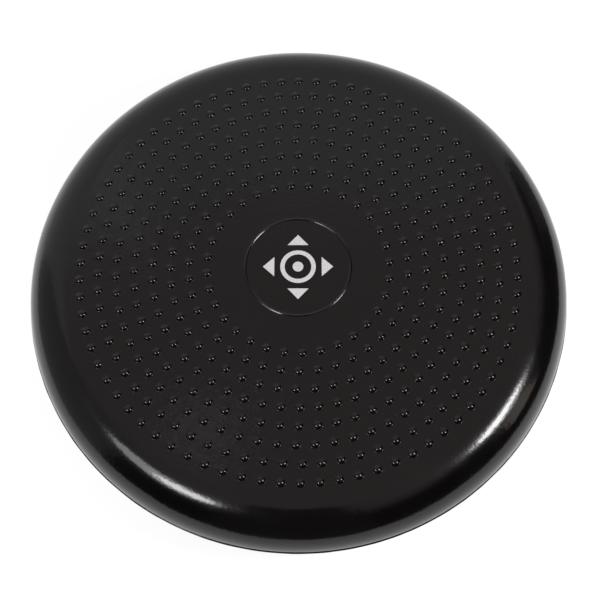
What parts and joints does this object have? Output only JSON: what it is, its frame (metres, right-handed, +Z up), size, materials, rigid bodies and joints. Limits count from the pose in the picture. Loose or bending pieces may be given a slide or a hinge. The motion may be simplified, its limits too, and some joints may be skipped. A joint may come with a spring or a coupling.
{
  "type": "wobble cushion",
  "caption": "Round air-filled balance cushion with a gently domed nubbed deck, rounded welded rim, coarse nubs underneath and a stoppered needle valve.",
  "frame": {"origin": "middle of the footprint, on the surface that the underside's nubs stand on", "axes": "+Z up through the middle of the deck, +Y away from the user, +X to the user's right"},
  "size_m": [0.33, 0.33, 0.0625],
  "materials": {
    "deck_skin": "smooth glossy soft PVC, black",
    "base_skin": "smooth glossy soft PVC, black",
    "weld": "glossy heat weld in soft PVC, black",
    "valve_rubber": "matt butyl rubber, dark grey",
    "stopper": "semi-matt moulded plastic, off-white",
    "deck_print": "satin white pad-printed ink"
  },
  "bodies": {
    "base": {"lower_membrane": "base_skin", "valve_seat": "base_skin", "valve_core": "valve_rubber"},
    "rim": {"rim_seam": "weld"},
    "deck": {"upper_membrane": "deck_skin"},
    "stopper": {"valve_stopper": "stopper"}
  },
  "joints": [
    {"name": "wobble_fore_aft", "type": "hinge", "parent": "base", "child": "rim", "pos_m": [0, 0, 0.0325], "axis": [1, 0, 0], "range_deg": [-6, 6], "stiffness_Nm_per_rad": 60, "deforming": ["lower_membrane"]},
    {"name": "wobble_sideways", "type": "hinge", "parent": "rim", "child": "deck", "pos_m": [0, 0, 0.0325], "axis": [0, 1, 0], "range_deg": [-6, 6], "stiffness_Nm_per_rad": 60, "deforming": ["upper_membrane"]},
    {"name": "stopper_pull", "type": "slide", "parent": "base", "child": "stopper", "axis": [0, 0, -1], "range_m": [0, 0.02]}
  ]
}
